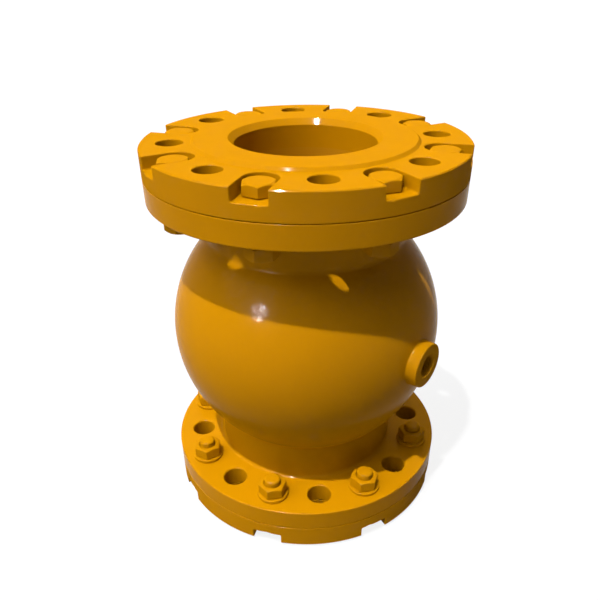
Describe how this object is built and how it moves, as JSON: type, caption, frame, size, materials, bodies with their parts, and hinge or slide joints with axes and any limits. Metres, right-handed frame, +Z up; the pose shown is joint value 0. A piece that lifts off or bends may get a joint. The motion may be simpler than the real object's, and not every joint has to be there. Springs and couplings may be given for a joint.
{
  "type": "air-operated pinch valve",
  "caption": "Flanged pinch valve: compressed air let into a ball-shaped housing presses a rubber sleeve flat and shuts the pipe.",
  "frame": {"origin": "centre of the lower pipe face, which is the bottom of the valve as it stands", "axes": "+Z up along the pipe, +X out of the air port, pipe bolt holes at 0, 45, 90 degrees and so on round Z"},
  "size_m": [0.22, 0.22, 0.28],
  "materials": {
    "body_paint": "thick glossy orange-yellow enamel over cast and machined steel, with light orange peel",
    "fastener_paint": "the same glossy enamel, brushed over bolts, nuts and washers",
    "sleeve_rubber": "matte black moulded rubber"
  },
  "bodies": {
    "valve_body": {"upper_half_shell": "body_paint", "lower_half_shell": "body_paint", "air_port_boss": "body_paint", "upper_body_flange": "body_paint", "lower_body_flange": "body_paint", "upper_end_flange": "body_paint", "lower_end_flange": "body_paint", "sleeve_upper_end": "sleeve_rubber", "sleeve_lower_end": "sleeve_rubber", "upper_clamp_bolt_1": "fastener_paint", "upper_clamp_bolt_2": "fastener_paint", "upper_clamp_bolt_3": "fastener_paint", "upper_clamp_bolt_4": "fastener_paint", "upper_clamp_bolt_5": "fastener_paint", "upper_clamp_bolt_6": "fastener_paint", "upper_clamp_bolt_7": "fastener_paint", "upper_clamp_bolt_8": "fastener_paint", "upper_clamp_washer_1": "fastener_paint", "upper_clamp_washer_2": "fastener_paint", "upper_clamp_washer_3": "fastener_paint", "upper_clamp_washer_4": "fastener_paint", "upper_clamp_washer_5": "fastener_paint", "upper_clamp_washer_6": "fastener_paint", "upper_clamp_washer_7": "fastener_paint", "upper_clamp_washer_8": "fastener_paint", "upper_clamp_nut_1": "fastener_paint", "upper_clamp_nut_2": "fastener_paint", "upper_clamp_nut_3": "fastener_paint", "upper_clamp_nut_4": "fastener_paint", "upper_clamp_nut_5": "fastener_paint", "upper_clamp_nut_6": "fastener_paint", "upper_clamp_nut_7": "fastener_paint", "upper_clamp_nut_8": "fastener_paint", "lower_clamp_bolt_1": "fastener_paint", "lower_clamp_bolt_2": "fastener_paint", "lower_clamp_bolt_3": "fastener_paint", "lower_clamp_bolt_4": "fastener_paint", "lower_clamp_bolt_5": "fastener_paint", "lower_clamp_bolt_6": "fastener_paint", "lower_clamp_bolt_7": "fastener_paint", "lower_clamp_bolt_8": "fastener_paint", "lower_clamp_washer_1": "fastener_paint", "lower_clamp_washer_2": "fastener_paint", "lower_clamp_washer_3": "fastener_paint", "lower_clamp_washer_4": "fastener_paint", "lower_clamp_washer_5": "fastener_paint", "lower_clamp_washer_6": "fastener_paint", "lower_clamp_washer_7": "fastener_paint", "lower_clamp_washer_8": "fastener_paint", "lower_clamp_nut_1": "fastener_paint", "lower_clamp_nut_2": "fastener_paint", "lower_clamp_nut_3": "fastener_paint", "lower_clamp_nut_4": "fastener_paint", "lower_clamp_nut_5": "fastener_paint", "lower_clamp_nut_6": "fastener_paint", "lower_clamp_nut_7": "fastener_paint", "lower_clamp_nut_8": "fastener_paint"},
    "front_lip": {"sleeve_front_lip": "sleeve_rubber"},
    "rear_lip": {"sleeve_rear_lip": "sleeve_rubber"}
  },
  "joints": [
    {"name": "front_lip_pinch", "type": "slide", "parent": "valve_body", "child": "front_lip", "axis": [0, 1, 0], "range_m": [0, 0.048], "stiffness_N_per_m": 2000, "deforming": ["sleeve_front_lip"]},
    {"name": "rear_lip_pinch", "type": "slide", "parent": "valve_body", "child": "rear_lip", "axis": [0, -1, 0], "range_m": [0, 0.048], "deforming": ["sleeve_rear_lip"]}
  ],
  "couplings": [
    {"joint": "rear_lip_pinch", "follows": "front_lip_pinch", "ratio": 1}
  ]
}
